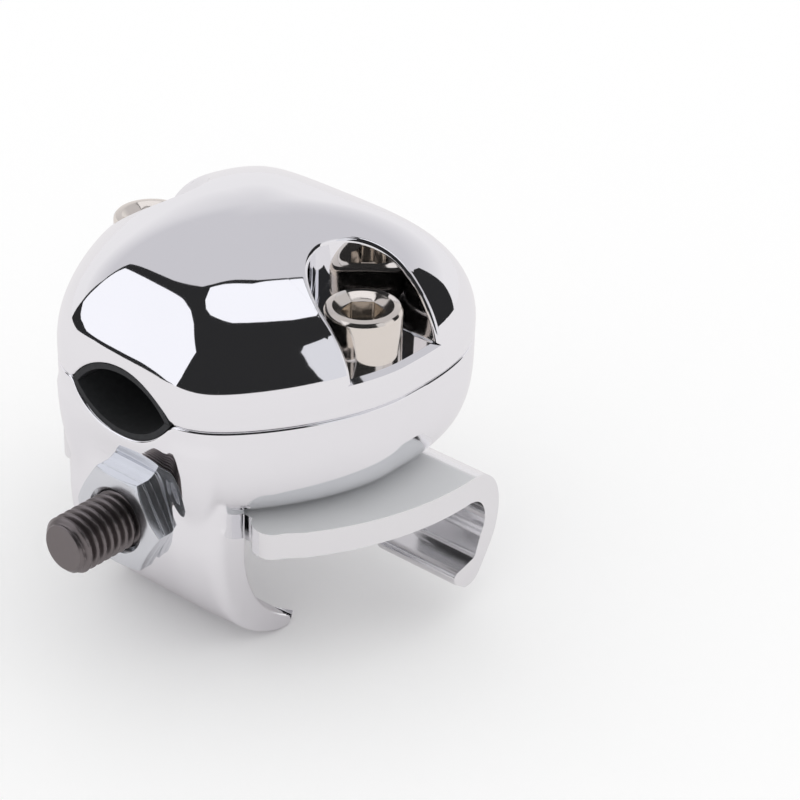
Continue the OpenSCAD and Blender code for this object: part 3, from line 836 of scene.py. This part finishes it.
def thread(r, z, a):
    """Rolled thread: a rounded wave that climbs one pitch in a turn, with a cone at each end."""
    phase = (z / pitch - a / (2 * math.pi)) % 1
    wave = ramp(np.abs(2 * phase - 1), 0.08, 0.88)
    cone = stud_r - stud_chamfer + np.minimum(z, stud_l - z)
    crest = np.minimum(stud_r - thread_t * (1 - wave), cone)
    return np.where(r > 0, np.maximum(crest, stud_r - stud_chamfer - 0.1), r)


line = np.concatenate([[[0, 0]], np.stack([np.full(len(rise), stud_r), rise], -1), [[0, stud_l]]])
black = metal("blackened_steel", (0.20, 0.18, 0.18), (0.25, 0.40), 0.1, 500)
shape = along_y(turned(line, thread), stud_high[1], stud_z)
solid_piece("stud", *grid_faces(shape), "claw", black, "claw_stud")


# ---------------------------------------------------------------- the nut
# Thin hexagon nut of zinc plated steel on the stud. It bears on the flat of the leg and draws the claw
# in. A groove round its middle parts its two chamfered halves.

nut_half, nut_t, nut_bore = 6.5, 2.8, 4.1
nut_wide = 9.0                        # profile radius that stands for the hexagon's sides
groove, groove_z = 0.2, 1.2
zinc = metal("zinc_plate", (0.73, 0.75, 0.78), (0.18, 0.25), 0.05, 300)
nut = np.array([
    [nut_bore, 0], [nut_wide, 0], [nut_wide, groove_z - 0.1], [nut_wide - groove, groove_z],
    [nut_wide, groove_z + 0.1], [nut_wide, nut_t], [6.2, nut_t], [nut_bore + 0.6, nut_t],
    [nut_bore, nut_t - 0.6], [nut_bore, 0]])


def hexagon(r, z, a):
    """Six sides, whose corners are turned down to a cone on the outer face."""
    side = hex_radius(nut_half, a - math.pi / 6)
    return np.where(r > nut_half, side - nut_wide + r, r)


shape = turned(nut, hexagon)
rim_row = shape[5]
past = np.clip(np.hypot(rim_row[:, 0], rim_row[:, 1]) - nut_half * 0.98, 0, None)
rim_row[:, 2] = nut_t - past * math.tan(math.radians(30))
vertices, faces = grid_faces(along_y(shape, leg_front, stud_z))
solid_piece("nut", vertices, faces, "claw_nut", zinc, "claw_nut", edge=0.1)


# ---------------------------------------------------------------- the liners
# Two thin half shells of black rubber, moulded to the saddles, that grip the bar.

rubber = bpy.data.materials.new("soft_rubber")
rubber.use_nodes = True
nodes, links = rubber.node_tree.nodes, rubber.node_tree.links
shader = nodes["Principled BSDF"]
shader.inputs["Roughness"].default_value = 0.75
place = nodes.new("ShaderNodeTexCoord")
grain = nodes.new("ShaderNodeTexNoise")
grain.inputs["Scale"].default_value = 1500
tone = nodes.new("ShaderNodeMix")
tone.data_type = "RGBA"
tone.inputs["A"].default_value = (0.012, 0.013, 0.015, 1)
tone.inputs["B"].default_value = (0.03, 0.032, 0.035, 1)
links.new(place.outputs["Object"], grain.inputs["Vector"])
links.new(grain.outputs["Fac"], tone.inputs["Factor"])
links.new(tone.outputs["Result"], shader.inputs["Base Color"])
for name in ("lower_liner", "upper_liner"):
    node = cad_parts[name]
    node.data.materials.clear()
    node.data.materials.append(rubber)


# ---------------------------------------------------------------- studio
# White floor and surround, and cards round the part that only its reflections see.

world = bpy.context.scene.world or bpy.data.worlds.new("studio")
bpy.context.scene.world = world
world.use_nodes = True
nodes, links = world.node_tree.nodes, world.node_tree.links
sky = nodes["Background"]
rays = nodes.new("ShaderNodeLightPath")
height = nodes.new("ShaderNodeSeparateXYZ")
tent = nodes.new("ShaderNodeValToRGB")
tent.color_ramp.elements[0].position = 0.62
tent.color_ramp.elements[0].color = (0.86, 0.845, 0.86, 1)
tent.color_ramp.elements[1].position = 0.78
tent.color_ramp.elements[1].color = (0.62, 0.61, 0.64, 1)
lift = nodes.new("ShaderNodeMapRange")
lift.inputs["From Min"].default_value = -1
pick = nodes.new("ShaderNodeMix")
pick.data_type = "RGBA"
pick.inputs["A"].default_value = (1, 1, 1, 1)
links.new(nodes.new("ShaderNodeTexCoord").outputs["Generated"], height.inputs["Vector"])
links.new(height.outputs["Z"], lift.inputs["Value"])
links.new(lift.outputs["Result"], tent.inputs["Fac"])
links.new(tent.outputs["Color"], pick.inputs["B"])
links.new(rays.outputs["Is Glossy Ray"], pick.inputs["Factor"])
links.new(pick.outputs["Result"], sky.inputs["Color"])
sky.inputs["Strength"].default_value = 1

floor_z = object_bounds()[0][2]
bpy.ops.mesh.primitive_plane_add(size=6, location=(0, 0, floor_z))
floor = bpy.context.object
floor.name = "floor"
paper = bpy.data.materials.new("white_paper")
paper.use_nodes = True
nodes, links = paper.node_tree.nodes, paper.node_tree.links
shader = nodes["Principled BSDF"]
shader.inputs["Roughness"].default_value = 1
shader.inputs["Specular IOR Level"].default_value = 0
rays = nodes.new("ShaderNodeLightPath")
tone = nodes.new("ShaderNodeMix")
tone.data_type = "RGBA"
tone.inputs["A"].default_value = (0.84, 0.82, 0.83, 1)
tone.inputs["B"].default_value = (1, 1, 1, 1)
links.new(rays.outputs["Is Camera Ray"], tone.inputs["Factor"])
links.new(tone.outputs["Result"], shader.inputs["Base Color"])
floor.data.materials.append(paper)


def card(name, distance, shade, middle, corners):
    """Part of a sphere round the part, as rings from its middle out to corners of (azimuth, elevation) in
    degrees, which only glossy rays see."""
    a, e = np.radians(np.array(corners + corners[:1] + [middle], float)).T
    ways = np.stack([np.cos(a) * np.cos(e), np.sin(a) * np.cos(e), np.sin(e)], -1)
    points = ruled(ways[-1], ways[:-1], 9)
    points = distance * points / np.linalg.norm(points, axis=-1, keepdims=True)
    vertices, faces = grid_faces(points)
    mesh = bpy.data.meshes.new(name)
    mesh.from_pydata(vertices, [], faces)
    plain = bpy.data.materials.new(name)
    plain.use_nodes = True
    nodes, links = plain.node_tree.nodes, plain.node_tree.links
    nodes.clear()
    glow = nodes.new("ShaderNodeEmission")
    glow.inputs["Color"].default_value = (shade, shade, shade * 1.05, 1)
    links.new(glow.outputs["Emission"], nodes.new("ShaderNodeOutputMaterial").inputs["Surface"])
    mesh.materials.append(plain)
    sheet = bpy.data.objects.new(name, mesh)
    bpy.context.scene.collection.objects.link(sheet)
    for kind in ("camera", "diffuse", "transmission", "shadow", "volume_scatter"):
        setattr(sheet, f"visible_{kind}", False)


dark = 0.024
card("front_black", 1.4, dark, (-80, 55), [
    (-176, 42), (-167, 30), (-163, 12), (-163, -3), (-150, -2), (-135, 1), (-118, -1), (-104, -6), (-85, -12),
    (-65, -17), (-40, -19), (-20, -19), (-6, -14), (-4, -8), (12, -8), (14, 20), (16, 40), (18, 56), (40, 57),
    (60, 61), (79, 66), (92, 73), (105, 76), (140, 76), (165, 73), (180, 68), (-172, 62), (-171, 52)])
card("left_white", 1.0, 1.0, (-130, 30), [
    (-172, 41), (-165, 48), (-155, 54), (-140, 57), (-120, 56), (-105, 50), (-95, 44), (-90, 40), (-94, 25),
    (-98, 10), (-103, -2), (-112, 0), (-125, 4), (-140, 4), (-152, 9), (-160, 14), (-163, 26)])
card("ceiling_white", 1.0, 1.0, (0, 78), [
    (-173, 68), (-150, 68), (-131, 69), (-110, 71), (-90, 73), (-68, 73), (-45, 71), (-25, 69), (-10, 66),
    (5, 61), (18, 57), (40, 60), (60, 64), (79, 69), (95, 76), (105, 79), (140, 79), (165, 76)])
card("right_grey", 1.0, 0.74, (4, 18), [
    (-9, 33), (-6, 38), (3, 39), (14, 40), (14, -5), (-4, -5), (-7, 5), (-9, 18)])
card("right_black", 1.0, dark, (60, 12), [
    (45, -6), (57, -8), (65, -4), (72, 14), (76, 30), (70, 36), (55, 36), (45, 25)])


# ---------------------------------------------------------------- camera
# A long lens, aimed a little to the part's right so that it stands left of the middle.

camera = bpy.data.objects.new("camera", bpy.data.cameras.new("camera"))
bpy.context.scene.collection.objects.link(camera)
bpy.context.scene.camera = camera
camera.data.lens = 118.2
camera.data.clip_start = 0.01
azimuth, elevation = math.radians(43.35), math.radians(29.93)
flat = math.cos(elevation)
back = Vector((math.sin(azimuth) * flat, -math.cos(azimuth) * flat, math.sin(elevation)))
aim, distance = Vector((0, 0, -0.008)), 0.35181
camera.location = aim + back * distance
camera.rotation_mode = "QUATERNION"
turn_right = Euler((math.radians(-0.305), math.radians(-3.179), 0)).to_quaternion()
camera.rotation_quaternion = (-back).to_track_quat("-Z", "Y") @ turn_right
bpy.context.scene.view_settings.view_transform = "Standard"
